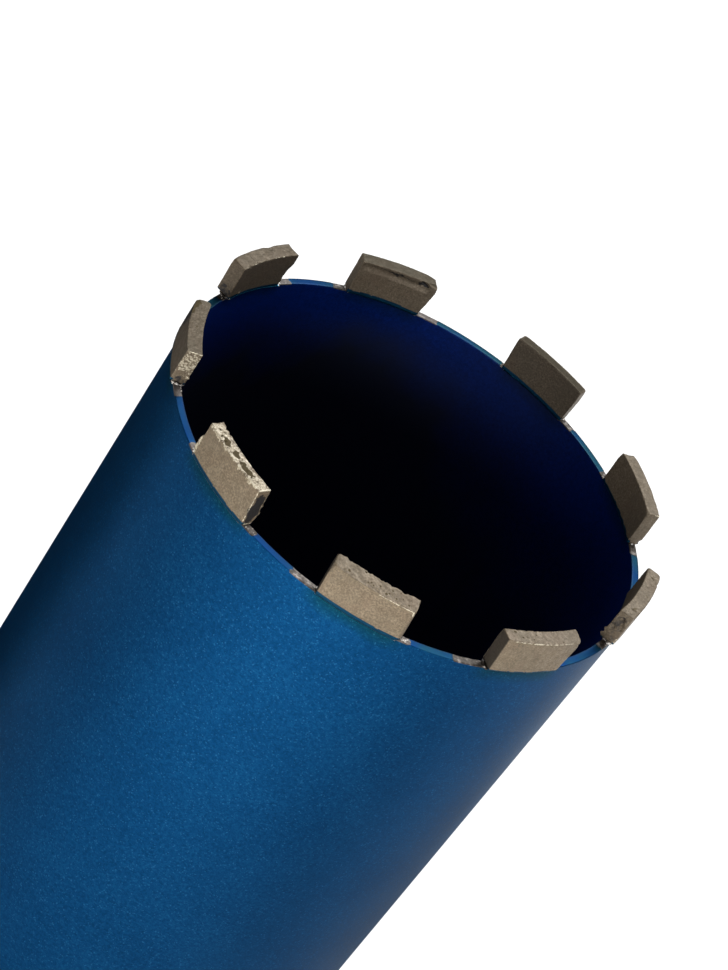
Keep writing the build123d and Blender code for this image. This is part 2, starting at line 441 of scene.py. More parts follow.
# Dents, or lumps where the depth is negative: (place, size, depth).
DENTED = {
    1: [((IN, 3.2, TOP), 0.7, 0.12)],
    2: [((0.3, 6.2, TOP), 1.2, 0.12), ((IN, -4.6, TOP), 0.7, 0.14), ((OUT, -END, 0.8), 1.2, 0.5)],
    3: [((-0.2, -END, 8.2), 1.2, 0.7), ((0.5, -END, 6.9), 0.9, 0.5), ((0.9, -END, 5.4), 0.8, 0.4),
        ((-0.9, -END, 5.2), 1.0, 0.4), ((0.2, -END, 3.4), 1.0, 0.35), ((IN, -END, 1.4), 1.0, -0.6),
        ((IN, -END + 0.2, 3.4), 0.9, -0.45), ((0.3, -7.2, TOP), 0.9, 0.22),
        ((-0.4, 3.4, TOP), 0.6, 0.15), ((0.6, 5.2, TOP), 0.7, 0.15), ((0.2, 7.6, TOP), 0.8, 0.15),
        ((OUT, 6.6, TOP), 0.9, 0.2)],
    4: [((-1.1, -7.6, TOP), 0.6, 0.2), ((0.4, -6.2, TOP), 0.5, 0.22), ((0.2, -4.9, TOP), 0.5, 0.2),
        ((0.7, -3.4, TOP), 0.5, 0.2), ((-0.6, -2.2, TOP), 0.4, 0.2), ((-0.3, 6.0, TOP), 0.5, 0.15),
        ((OUT, END, 9.2), 0.8, 0.5), ((OUT, 8.3, TOP), 0.5, 0.3), ((1.2, 4.9, TOP), 0.5, 0.25)],
    5: [((IN, -7.4, TOP), 0.7, 0.5), ((IN, -6.5, TOP - 0.2), 0.5, 0.4), ((IN, -2.5, TOP), 0.6, 0.5),
        ((IN, 0.6, TOP), 0.55, 0.5), ((IN, 1.4, TOP), 0.4, 0.3), ((IN, 3.2, TOP), 0.5, 0.25),
        ((IN, 6.3, TOP), 0.9, 0.4), ((1.0, -6.6, TOP - 0.2), 0.5, 0.25), ((-1.2, -3.2, TOP), 0.45, 0.35),
        ((0.9, -1.9, TOP), 0.5, 0.4), ((0.5, -1.2, TOP), 0.45, 0.35), ((0.9, -0.6, TOP), 0.4, 0.3),
        ((0.1, 0.9, TOP), 0.5, 0.35), ((1.1, 2.7, TOP), 0.6, 0.4), ((0.7, 3.3, TOP), 0.4, 0.3),
        ((-0.4, 3.8, TOP), 0.5, 0.3), ((1.0, 5.2, TOP), 0.5, 0.3), ((-0.9, 5.6, TOP), 0.4, 0.3),
        ((0.3, 6.6, TOP), 0.4, 0.3), ((1.1, 8.3, TOP), 0.4, 0.25), ((IN, 8.4, TOP - 0.2), 1.0, -0.1)],
    6: [((IN, -8.2, TOP), 0.7, 0.45), ((IN, -6.6, TOP), 0.5, 0.3), ((0.2, -8.3, TOP), 0.5, 0.4),
        ((-0.5, -7.4, TOP), 0.5, 0.35), ((0.9, -6.4, TOP), 0.4, 0.35), ((0.1, -5.9, TOP), 0.4, 0.3),
        ((0.8, -4.9, TOP), 0.5, 0.3), ((-0.6, 0.9, TOP), 0.4, 0.3), ((0.4, 1.3, TOP), 0.4, 0.3),
        ((0.6, 6.2, TOP), 0.4, 0.3), ((IN, END, 3.4), 0.8, -0.3), ((IN, END, 1.6), 0.8, -0.35),
        ((IN, END - 0.1, 5.6), 0.6, -0.2), ((1.2, -END, 2.6), 2.4, -1.0), ((1.2, -END, 4.8), 2.2, -0.8),
        ((1.2, -END, 3.6), 1.0, 0.4), ((0, 7.6, TOP), 0.5, 0.2)],
    7: [((-0.1, 0.6, TOP), 0.35, 0.3), ((IN, END, 2.6), 0.6, -0.25)],
    8: [((OUT, -3.4, TOP), 2.2, 0.22), ((IN, 4.2, TOP), 0.8, 0.2),
        ((IN, 7.2, TOP), 0.9, 0.25), ((IN, 6.2, 1.2), 0.8, -0.25), ((IN, -END, 2.6), 1.4, 0.35),
        ((0, -END, 4.6), 3.4, 0.7)],
    9: [((IN, -6.4, TOP - 0.9), 1.0, 0.7), ((IN, -7.4, TOP - 1.0), 0.9, 0.5),
        ((0, -END, 4.4), 1.8, 0.3)],
}

# Long hollows, each with a lip above it: (from, to, reach, depth).
HOLLOWED = {9: [((IN, 9.0, TOP - 1.3), (IN, 1.0, TOP - 1.9), 1.5, 0.4),
                ((IN, 1.0, TOP - 1.9), (IN, -7.5, TOP - 2.0), 1.5, 0.4)]}

# How far the top edges are nibbled: (inner depth, outer depth, size of the bites).
NIBBLED = {1: (0.06, 0.08, 2.2), 2: (0.08, 0.06, 2.6), 3: (0.10, 0.12, 1.6), 4: (0.08, 0.10, 1.2),
           5: (0.16, 0.06, 1.0), 6: (0.10, 0.10, 1.2), 7: (0.05, 0.05, 2.4), 8: (0.12, 0.05, 2.6),
           9: (0.08, 0.06, 3.0)}

# Only small deep pits are coloured dark: how deep and how large in mm.
DARK_PIT_DEPTH = 0.2
DARK_PIT_SIZE = 0.75

# Burrs along an edge, raised a little and painted bright as a highlight: (from, to, half width, how
# unbroken it is).
BURRS_WITH_HIGHLIGHTS = {
    2: [((IN + 0.5, -END, TOP), (OUT, -END, TOP), 0.3, 0.5)],
    3: [((OUT, -END, 0.3), (OUT, -END, 2.2), 0.3, 0.5)],
    4: [((OUT, -8.6, TOP - 0.3), (OUT, 8.0, TOP - 0.6), 0.26, 0.35),
        ((IN, -END, 0.5), (IN, -END, 3.0), 0.2, 0.4),
        ((OUT, -3.6, TOP - 0.4), (OUT, -1.6, TOP - 0.4), 0.36, 0.6)],
    5: [((OUT, 1.4, TOP - 1.25), (OUT, 9.8, TOP - 1.25), 0.17, 0.5),
        ((OUT, END, 7.2), (OUT, END - 0.6, TOP - 1.2), 0.3, 0.5)],
    6: [((OUT, -9.4, TOP), (OUT, 9.6, TOP), 0.22, 0.45), ((OUT, END, 0.3), (OUT, END, TOP), 0.2, 0.35),
        ((IN, END, 0.3), (IN, END, TOP), 0.3, 0.3), ((IN, END, TOP), (OUT, END, TOP), 0.36, 0.7),
        ((IN, -6.0, TOP), (IN, END, TOP), 0.26, 0.6), ((IN, END, 0.3), (OUT, END, 0.3), 0.25, 0.4),
        ((OUT, -END, 1.0), (OUT, -END, 6.4), 0.3, 0.5),
        ((-0.8, -END, 1.6), (-0.6, -END, 5.6), 0.35, 0.5)],
    7: [((IN, END, TOP), (OUT, END, TOP - 0.4), 0.24, 0.5)],
    8: [((IN, 1.0, TOP), (IN, 9.0, TOP), 0.18, 0.15), ((IN, -6.0, TOP), (IN, -2.0, TOP), 0.18, 0.15)],
}

# Bright smears of solder, and dark or brown stains, with a painted shadow under segment 9's lip: (place,
# (size across, along, up), strength).
SMEARED = {
    6: [((0.2, -7.6, TOP), (2.2, 3.4, 0.8), 0.75), ((0.2, 0.6, TOP), (2.2, 7.5, 0.7), 0.7),
        ((0.2, 8.2, TOP), (2.2, 2.6, 0.8), 0.85), ((0.9, -END - 0.4, 3.6), (1.2, 0.9, 3.0), 0.5)],
    7: [((IN, END, 2.6), (0.7, 0.5, 0.5), 1.0), ((0, END, 6.8), (2.4, 0.5, 4.2), 0.5)],
    8: [((IN, 6.2, 1.2), (0.4, 0.6, 0.5), 0.6)],
}
STAINS_AND_SHADOW = {
    2: [((0.5, 5.5, TOP), (0.9, 2.2, 0.4), 0.22)],
    3: [((0.1, -END, 7.4), (0.7, 0.8, 2.0), 0.5), ((0, -END, 4.8), (2.4, 0.7, 6.4), 0.36),
        ((0.3, -7.2, TOP), (0.8, 1.2, 0.4), 0.4), ((0.4, 3.4, TOP), (1.3, 6.6, 0.5), 0.3)],
    5: [((OUT, -5.8, 8.2), (0.8, 3.0, 2.0), 0.24)],
    6: [((0, END, 5), (1.8, 0.7, 5.2), 0.9), ((0.45, -4.4, TOP), (0.8, 2.1, 0.6), 0.8),
        ((0.1, -0.6, TOP), (1.0, 1.3, 0.6), 0.72), ((0.35, 4.0, TOP), (1.0, 2.8, 0.6), 0.85)],
    7: [((0, END, 0.8), (1.9, 0.6, 2.2), 0.5), ((-0.1, 0.6, TOP), (0.4, 0.4, 0.4), 0.6),
        ((OUT, -END, TOP - 1), (1.2, 8.0, 7.0), 0.85)],
    8: [((0, END, 1.2), (1.9, 0.6, 2.4), 0.5), ((OUT, END, 5.0), (0.7, 0.6, 5.0), 0.3)],
    # Segment 9's rows are a painted shadow under the lip over its hollow.
    9: [((IN, -6.9, TOP - 1.2), (0.9, 1.7, 0.6), 0.7), ((IN, 5.6, TOP - 0.9), (0.6, 3.6, 0.4), 0.42),
        ((IN, -0.4, TOP - 1.2), (0.6, 5.0, 0.45), 0.5)],
}

# How much painted shade darkens each face by the way it looks: (top, outer face, inner face, end at
# -along, end at +along).
FACE_SHADE = {1: (0.76, 0, 0.35, 0, 0), 2: (0.24, 0, 0, 0, 0), 3: (0.2, 0, 0, 0.4, 0),
            4: (0.14, 0, 0, 0.84, 0), 5: (0.12, 0.06, 0, 0.8, 0), 6: (0, 0.1, 0, 0, 0),
            7: (0.42, 0.62, 0, 0, 0.34), 8: (0.4, 0, 0.5, 0, 0.5), 9: (0.66, 0, 0, 0, 0)}

# How high the paint has crept up the outer and inner faces from the rim, in millimetres.
PAINTED_FOOT = {1: 1.0, 2: 0.85, 3: 0.5, 4: 0.4, 5: 0.9, 6: 0.9, 7: 0.8, 8: 1.0, 9: 1.1}


def blocky_segment():
    """A plain block on a fine grid, in millimetres, with its foot at height 0."""
    size = (2 * OUT, 2 * END, TOP)
    bm = bmesh.new()
    bmesh.ops.create_cube(bm, size=1)
    bmesh.ops.scale(bm, vec=size, verts=bm.verts)
    bmesh.ops.translate(bm, vec=(0, 0, TOP / 2), verts=bm.verts)
    for axis, cuts in ((0, 17), (1, 100), (2, 48)):
        along = [e for e in bm.edges if abs((e.verts[0].co - e.verts[1].co)[axis]) > 0.9 * size[axis]]
        bmesh.ops.subdivide_edges(bm, edges=along, cuts=cuts, use_grid_fill=True)
    return bm


def near_line(place, start, end):
    """How far a place is from the line between two others."""
    run = end - start
    if run.length_squared == 0:
        return (place - start).length
    share = max(0.0, min(1.0, (place - start).dot(run) / run.length_squared))
    return (place - start - run * share).length


def fall(distance, reach):
    """One at no distance, nothing at the reach, smooth between."""
    if distance >= reach:
        return 0.0
    return (1 - (distance / reach) ** 2) ** 2


def marks_of(number, table):
    """A segment's rows of a table of wear, with their places as vectors."""
    rows = table.get(number, ())
    return [[Vector(item) if isinstance(item, tuple) else item for item in row] for row in rows]


def random_pits(number):
    """Small pits all over a segment's top and a few on its sides, as (place, size, depth)."""
    pits = random.Random(number)
    found = []
    for _ in range(40):
        place = Vector((pits.uniform(IN, OUT), pits.uniform(-END, END), TOP))
        found.append((place, pits.uniform(0.22, 0.42), pits.uniform(0.05, 0.2)))
    for _ in range(16):
        place = Vector((pits.choice((IN, OUT)), pits.uniform(-END, END), pits.uniform(1.5, TOP)))
        found.append((place, pits.uniform(0.22, 0.4), pits.uniform(0.03, 0.1)))
    return found


def round_over(bm, number, drift):
    """Round a block's edges, more where they are worn."""
    half = Vector((OUT, END, TOP / 2))
    middle = Vector((0, 0, TOP / 2))
    worn = marks_of(number, WORN_ROUND)
    for v in bm.verts:
        place = v.co - middle
        radius = 0.22 + 0.12 * noise.noise(v.co / 2.5 + drift)
        for start, end, reach, more in worn:
            radius += (more - radius) * fall(near_line(v.co, start, end), reach)
        core = Vector([max(-h + radius, min(h - radius, c)) for c, h in zip(place, half)])
        over = place - core
        if over.length > radius:
            place = core + over.normalized() * radius
        v.co = place + middle


def strongest(place, marks, warp):
    """The strongest of some oval marks at a place, with ragged outlines."""
    shifted = place + warp
    found = 0.0
    for middle, size, amount in marks:
        apart = Vector([(c - m) / s for c, m, s in zip(shifted, middle, size)]).length
        found = max(found, amount * min(1.0, 2.0 * fall(apart, 1.3)))
    return found


def unevenness(place, up, drift):
    """How far a pressed face stands out at a place: slow waves, a fine grain, and small bites on top."""
    rise = 0.045 * noise.noise(place / 3.6 + drift) - 0.01
    rise += 0.018 * noise.noise(place / 0.9 + drift) + 0.035 * noise.noise(place / 0.4 - drift)
    return rise - up * 0.06 * max(0.0, noise.noise(place / 1.1 - drift))


def nibbled(place, number):
    """A place bitten down if it lies near a top edge."""
    inner, outer, size = NIBBLED[number]
    bites = max(0.0, noise.noise(Vector((place.y / size, number * 7.7, 0))) + 0.15)
    bites += 0.5 * max(0.0, noise.noise(Vector((place.y / size * 2.7, number * 3.1, 4))))
    place.z -= inner * bites * fall(hypot(place.x - IN, place.z - TOP), 1.1)
    place.z -= outer * bites * fall(hypot(place.x - OUT, place.z - TOP), 0.9)
    return place


def dented(at, dents, hollows):
    """How deep a place is pushed in, and how near it is to the bottom of a small pit, from 0 to 1."""
    deep = 0.0
    pitted = 0.0
    for middle, size, depth in dents:
        near = fall((at - middle).length, size)
        deep += depth * near
        if depth >= DARK_PIT_DEPTH and size < DARK_PIT_SIZE:
            pitted = max(pitted, near)
    deep += max([depth * fall(near_line(at, start, end), reach) for start, end, reach, depth in hollows],
                default=0.0)
    return deep, pitted


def shaved_off(place, flats, drift):
    """A place brought down to the flats that it stands proud of."""
    for middle, way in flats:
        ahead = (place - middle).dot(way) + 0.08 * noise.noise(place / 0.8 + drift)
        if ahead > 0:
            place -= way * ahead
    return place


def burr_highlight(place, at, out, burrs, drift):
    """A place raised by the burrs it lies on, and how brightly their painted highlight shows there."""
    glint = 0.0
    for start, end, width, unbroken in burrs:
        near = fall(near_line(at, start, end), 1.6 * width)
        if near:
            lump = 0.5 + 0.8 * noise.noise(place / 0.5 - drift)
            sparkle = min(1.0, max(0.0, 0.5 + 1.3 * noise.noise(place / 0.4 + drift)))
            place += out * 0.04 * near * lump
            glint = max(glint, near * (unbroken + (1 - unbroken) * sparkle))
    return place, glint


def face_shade(out, number):
    """How much painted shade darkens a face that looks this way."""
    facing = (out.z, out.x, -out.x, -out.y, out.y)
    return sum(amount * max(0.0, way) ** 2 for amount, way in zip(FACE_SHADE[number], facing))


def wear_segment(bm, number):
    """Wear a block as this segment is worn, and mark where it is bright, dark with stains or a painted
    shadow, dull with painted shade, lit by a painted highlight on its burrs, or painted.
    """
    drift = Vector((17.3 * number, 5.1 * number, -9.7 * number))
    kinds = ("bright", "painted_burr_highlight", "dark", "dull", "painted")
    layers = {kind: bm.verts.layers.float.new(kind) for kind in kinds}
    flats = [(middle, way.normalized()) for middle, way in marks_of(number, SHAVED)]
    dents = marks_of(number, DENTED) + random_pits(number)
    hollows = marks_of(number, HOLLOWED)
    burrs = marks_of(number, BURRS_WITH_HIGHLIGHTS)
    smears = SMEARED.get(number, ())
    stains = STAINS_AND_SHADOW.get(number, ())
    round_over(bm, number, drift)
    bm.normal_update()
    for v in bm.verts:
        at = v.co.copy()
        out = v.normal.copy()
        place = nibbled(at + out * unevenness(at, max(0.0, out.z), drift), number)
        deep, pitted = dented(at, dents, hollows)
        place = shaved_off(place - out * deep, flats, drift)
        place, glint = burr_highlight(place, at, out, burrs, drift)
        warp = 0.55 * noise.noise_vector(place / 0.9 - drift)
        warp += 0.5 * noise.noise_vector(place / 2.2 + drift)
        painted_to = PAINTED_FOOT[number] + 0.1 * noise.noise(Vector((place.y / 1.8, number * 4.4, 1)))
        v[layers["painted_burr_highlight"]] = glint
        v[layers["bright"]] = strongest(at, smears, warp)
        v[layers["dark"]] = max(0.75 * pitted, strongest(at, stains, warp))
        # The "dull" mark is painted shade by the way a face looks.
        v[layers["dull"]] = face_shade(out, number)
        v[layers["painted"]] = 1.0 if place.z < painted_to and abs(place.x) > 1.2 else 0.0
        v.co = (min(place.x, OUT), place.y, min(place.z, TOP))


def bend_segment(bm, number):
    """Bring a block to its pressed size, bend it to the ring and stand it on the rim."""
    thicker, shift, taller = PRESSED[number]
    low_foot, low_top, high_foot, high_top = SLANTED[number]
    for v in bm.verts:
        height = v.co.z / TOP
        share = (v.co.y + END) / (2 * END)
        low = low_foot + (low_top - low_foot) * height
        high = high_foot + (high_top - high_foot) * height
        v.co.y += low + (high - low) * share
    bmesh.ops.scale(bm, vec=(MM * thicker, MM, MM * taller), verts=bm.verts)
    for v in bm.verts:
        radius = SEGMENT_MIDDLE + shift * MM + v.co.x
        v.co.x = sqrt(radius * radius - v.co.y * v.co.y)
    turn(bm, bm.verts, ANGLES[number])
    bmesh.ops.translate(bm, vec=(0, 0, RIM), verts=bm.verts)


def make_segment(number):
    """One sintered cutting segment with its own wear."""
    bm = blocky_segment()
    wear_segment(bm, number)
    bend_segment(bm, number)
    piece(f"cutting_segment_{number}", bm, SINTER, (f"segment_{number}",), 80)


# ---------------------------------------------------------------- tube
# Bare metal ground on the rim past each segment's ends, in mm: (clockwise side, anticlockwise side).
GROUND_BACK = {1: (4.0, 0.9), 2: (5.0, 4.0), 3: (4.0, 0.6), 4: (8.0, 0.4), 5: (7.0, 3.4), 6: (3.2, 4.2),
               7: (2.0, 4.2), 8: (4.5, 2.2), 9: (6.2, 4.0)}


def past_segment(x, y):
    """The nearest segment to a place on the ring, and how far along past its middle, in mm."""
    angle = atan2(y, x)
    number = min(ANGLES, key=lambda n: abs(remainder(angle - ANGLES[n], 2 * pi)))
    return number, remainder(angle - ANGLES[number], 2 * pi) * TUBE_RADIUS / MM


# How far down from the rim the outside of the tube is marked by grinding and brazing.
MARKED_DEPTH = 7 * MM

# Painted light and shade inside the tube: the wall is painted lit blue down to a depth that changes round
# the mouth, and dark below it: (angle round the mouth in degrees, mm deep, how much of the lit blue is
# kept).
PAINTED_LIGHT_INSIDE = ((0, 48, 1.0), (50, 48, 0.9), (75, 38, 0.62), (92, 17, 0.72), (110, 10.5, 0.9), (122, 12, 1.0),
        (138, 21, 1.0), (165, 24, 1.0), (250, 30, 1.0), (360, 48, 1.0))


def painted_light_inside_at(place):
    """How deep the painted light reaches down the inside at a place, in mm, and how much of it is kept.
    """
    angle = degrees(atan2(place.y, place.x)) % 360
    for (start, *before), (end, *after) in zip(PAINTED_LIGHT_INSIDE, PAINTED_LIGHT_INSIDE[1:]):
        if angle <= end:
            share = (angle - start) / (end - start)
            return [a + (b - a) * share for a, b in zip(before, after)]
    return PAINTED_LIGHT_INSIDE[-1][1:]


def clamped(value):
    """A value kept between 0 and 1."""
    return max(0.0, min(1.0, value))


def mark_inside(v, layers, below):
    """Mark a point of the tube that lies inside, and how much painted light it keeps there before the
    painted shade.
    """
    v[layers["inside"]] = 1.0 if hypot(v.co.x, v.co.y) < TUBE_BORE + 0.3 * MM else 0.0
    reach, lit_share = painted_light_inside_at(v.co)
    reach *= 1 + 0.3 * noise.noise(v.co / (13 * MM)) + 0.15 * noise.noise(v.co / (5 * MM))
    v[layers["painted_light_inside"]] = lit_share * clamped(0.5 + (reach - below) / (1.25 * reach))


def mark_rim(v, layers, below):
    """Mark a point near the rim: on its flat, ground bare beside a segment, or scorched under one."""
    number, along = past_segment(v.co.x, v.co.y)
    past = abs(along) - END
    v[layers["flat"]] = 1.0 if below < 0.06 else max(0.0, 0.8 - 3 * below)
    ground = GROUND_BACK[number][1 if along > 0 else 0]
    ragged = past - ground + 0.6 * noise.noise(v.co / (1.1 * MM)) + 0.3 * noise.noise(v.co / (0.4 * MM))
    v[layers["bare"]] = clamped(0.5 - 1.6 * ragged) * clamped(1.25 - 2.6 * below)
    reach = 3.6 + 1.2 * noise.noise(v.co / (6 * MM))
    v[layers["scorched"]] = clamped((3.0 - past) / 4.5) * clamped(1.25 - below / reach)
    if v[layers["bare"]] > 0.4:
        rough = 0.06 * noise.noise(v.co / (0.6 * MM)) + 0.04 * noise.noise(v.co / (0.25 * MM))
        v.co.z += (rough - 0.08) * MM


def mark_tube(bm):
    """Mark the tube's paint: inside with its painted light and shade, ground bare, scorched, or on the
    flat of the rim.
    """
    kinds = ("bare", "scorched", "flat", "inside", "painted_light_inside")
    layers = {kind: bm.verts.layers.float.new(kind) for kind in kinds}
    for v in bm.verts:
        below = (RIM - v.co.z) / MM
        mark_inside(v, layers, below)
        if below <= MARKED_DEPTH / MM:
            mark_rim(v, layers, below)


def make_barrel():
    """The tube, with its rings closest near the rim and the next closest where the painted light inside
    gives way to painted shade.
    """
    edge = 0.2 * MM
    fine = 0.5 * MM
    middling = 2.5 * MM
    coarse = 40 * MM
    painted_light_depth = 52 * MM
    across = (TUBE_WALL - 2 * edge) / 4
    quarter = [radians(a) for a in (0, 30, 60, 90)]
    outline = [(TUBE_RADIUS - WELD_GROOVE, TUBE_BASE), (TUBE_RADIUS, TUBE_BASE + WELD_GROOVE)]
    outline += [(TUBE_RADIUS, TUBE_BASE + WELD_GROOVE + coarse * k) for k in range(1, 8)]
    outline += [(TUBE_RADIUS, RIM - MARKED_DEPTH + fine * k) for k in range(14)]
    outline += [(TUBE_RADIUS - edge * (1 - cos(a)), RIM - edge * (1 - sin(a))) for a in quarter]
    outline += [(TUBE_RADIUS - edge - across * k, RIM) for k in (1, 2, 3)]
    outline += [(TUBE_BORE + edge * (1 - cos(a)), RIM - edge * (1 - sin(a))) for a in reversed(quarter)]
    outline += [(TUBE_BORE, RIM - fine * k) for k in range(1, 15)]
    outline += [(TUBE_BORE, RIM - MARKED_DEPTH - middling * k) for k in range(1, 19)]
    outline += [(TUBE_BORE, RIM - painted_light_depth - coarse * k) for k in range(1, 7)]
    outline += [(TUBE_BORE, TUBE_BASE)]
    bm = ring_of(outline)
    mark_tube(bm)
    piece("tube", bm, PAINT, ("barrel",))


# ---------------------------------------------------------------- solder under the segments
# Drops of solder on the rim: (side, how far past the segment's end, across the wall, size), in mm.
DROPS = {
    1: [(-1, 0.5, 0.2, 0.4), (1, 0.4, -0.2, 0.35)],
    2: [(-1, 0.6, -0.2, 0.5), (-1, 1.6, 0.2, 0.35), (1, 0.5, 0.3, 0.45), (1, 1.5, -0.1, 0.4)],
    3: [(-1, 0.5, 0.5, 0.5), (-1, 1.3, 0.7, 0.3), (1, 0.4, -0.3, 0.35)],
    4: [(-1, 0.4, 0.7, 0.32), (-1, 1.0, 0.1, 0.3), (-1, 1.5, -0.6, 0.26), (1, 0.3, 0.1, 0.3)],
    5: [(1, 0.4, 0.5, 0.5), (1, 1.1, 0.2, 0.62), (1, 1.9, 0.4, 0.55), (1, 2.5, -0.2, 0.36),
        (1, 1.4, -0.6, 0.3), (-1, 0.5, 0.1, 0.3)],
    6: [(-1, 0.4, 0.7, 0.5), (-1, 1.2, 0.5, 0.3), (1, 0.5, 0.1, 0.4), (1, 1.4, 0.6, 0.34),
        (1, 2.4, -0.6, 0.3), (1, 3.4, 0.1, 0.24)],
    7: [(1, 1.0, -0.7, 0.3), (1, 2.0, -0.75, 0.36), (-1, 0.5, 0.1, 0.35)],
    8: [(1, 0.4, 0.3, 0.55), (1, 1.2, -0.2, 0.4), (-1, 0.4, -0.1, 0.4), (-1, 1.6, 0.3, 0.28)],
    9: [(-1, 0.4, 0.1, 0.35), (1, 0.3, 0.1, 0.4)],
}

# Sections of the fillets outside and inside the tube: (radius, height above the rim), in mm.
OUTER_FILLET = ((62.55, -0.62), (62.74, -0.66), (63.02, -0.4), (63.36, -0.05), (63.36, 0.12),
                (62.55, 0.12))
INNER_FILLET = ((60.85, -0.62), (60.85, 0.12), (60.04, 0.12), (60.04, -0.05), (60.38, -0.4),
                (60.66, -0.66))


def solder_strip(bm, number, outline):
    """A strip of solder along a segment's foot, spun from its closed outline."""
    sweep = 2 * (END - 0.2) * MM / TUBE_RADIUS
    corners = [bm.verts.new((radius * MM, 0, RIM + height * MM)) for radius, height in outline]
    start = bm.faces.new(corners)
    turn(bm, corners, ANGLES[number] - sweep / 2)
    bmesh.ops.spin(bm, geom=[start] + list(start.edges) + list(start.verts), cent=(0, 0, 0),
                   axis=(0, 0, 1), dvec=(0, 0, 0), angle=sweep, steps=60, use_duplicate=False)


def past_end(number, side, past):
    """The angle of a place this many millimetres past one end of a segment."""
    return ANGLES[number] + side * (END + past) * MM / WALL_MIDDLE


def solder_ball(bm, angle, across, up, size, fineness, flattened=(1, 1, 1)):
    """A ball of solder at this angle, across from the wall's middle and up from the rim, in mm."""
    ball = bmesh.ops.create_icosphere(bm, subdivisions=fineness, radius=size * MM)["verts"]
    bmesh.ops.scale(bm, vec=flattened, verts=ball)
    bmesh.ops.translate(bm, vec=(WALL_MIDDLE + across * MM, 0, RIM + up * MM), verts=ball)
    turn(bm, ball, angle)


def make_solder(number):
    """The fillets at a segment's foot and the drops beside it, run together."""
    bm = bmesh.new()
    solder_strip(bm, number, OUTER_FILLET)
    solder_strip(bm, number, INNER_FILLET)
    for side, past, across, size in DROPS[number]:
        solder_ball(bm, past_end(number, side, past), across, 0, 0.85 * size, 2, (1.0, 0.85, 0.75))
    for side in (-1, 1):
        for k in range(7):
            size = 0.3 + 0.12 * sin(5 * k + number)
            solder_ball(bm, past_end(number, side, -0.02), (k - 3) * 0.27, 0.02, size, 1)
    bmesh.ops.recalc_face_normals(bm, faces=bm.faces)
    bm = run_together(bm, 0.14 * MM)
    painted = bm.verts.layers.float.new("painted")
    bm.normal_update()
    for v in bm.verts:
        lump = 0.045 * noise.noise(v.co / (0.7 * MM)) + 0.02 * noise.noise(v.co / (0.3 * MM))
        v.co += v.normal * lump * MM
        across = (hypot(v.co.x, v.co.y) - WALL_MIDDLE) / MM
        _, along = past_segment(v.co.x, v.co.y)
        bared = 0.5 * noise.noise(v.co / (0.8 * MM)) + abs(along) - END
        v[painted] = 1.0 if abs(across) > 0.9 and bared < -0.4 else 0.0
    piece(f"solder_{number}", bm, SOLDER, (f"braze_{number}",), 80)


def run_together(bm, size):
    """Melt a mesh's lumps into one skin with faces about this size."""
    mesh = bpy.data.meshes.new("melt")
    bm.to_mesh(mesh)
    bm.free()
    melt = bpy.data.objects.new("melt", mesh)
    bpy.context.scene.collection.objects.link(melt)
    remesh = melt.modifiers.new("remesh", "REMESH")
    remesh.mode = "VOXEL"
    remesh.voxel_size = size
    done = bpy.data.meshes.new_from_object(melt.evaluated_get(bpy.context.evaluated_depsgraph_get()))
    bpy.data.objects.remove(melt)
    bpy.data.meshes.remove(mesh)
    melted = bmesh.new()
    melted.from_mesh(done)
    bpy.data.meshes.remove(done)
    bmesh.ops.smooth_vert(melted, verts=melted.verts, factor=0.5, use_axis_x=True, use_axis_y=True,
                          use_axis_z=True)
    return melted


# ---------------------------------------------------------------- welds and thread at the base
# Sections of the weld beads: (radius, height above the seam), in mm.
TUBE_BEAD = ((61.4, 0), (62.5, -1.3), (62.85, -0.9), (63.0, -0.4), (63.0, 0.4), (62.85, 0.9), (62.5, 1.3))


def hub_bead_section():
    """The fillet weld's section: from under the plate, down its sloping face to the collar."""
    collar = COLLAR_RADIUS / MM
    leg = HUB_WELD_LEG / MM
    slope = [(collar + leg * (1 - k / 8), -leg * (k / 8)) for k in range(9)]
    return [(collar - 0.2, 0)] + slope + [(collar - 0.2, -leg)]


def weld_bead(name, section, seam, node, pitch, rise):
    """A ring of weld round a seam, with ripples of this pitch and rise, in mm."""
    bm = ring_of([(radius * MM, seam + height * MM) for radius, height in section])
    bm.normal_update()
    ripples = round(2 * pi * section[0][0] / pitch)
    moves = []
    for v in bm.verts:
        around = atan2(v.co.y, v.co.x)
        lag = 0.35 * cos((v.co.z - PLATE_BASE) / MM) + 0.8 * noise.noise(v.co / (9 * MM))
        ripple = abs(sin(ripples * around / 2 + lag)) ** 0.6 - 1
        moves.append(v.normal * (rise * ripple + 0.10 * noise.noise(v.co / (2.5 * MM)) - 0.1) * MM)
    for v, move in zip(bm.verts, moves):
        v.co += move
    piece(name, bm, PAINT, (node,), 50)


def make_welds():
    """The bead between tube and plate, and the fillet weld round the hub's collar."""
    weld_bead("tube_weld", TUBE_BEAD, TUBE_BASE, "plate_weld", 1.5, 0.12)
    weld_bead("hub_bead", hub_bead_section(), PLATE_BASE, "hub_weld", 1.9, 0.22)


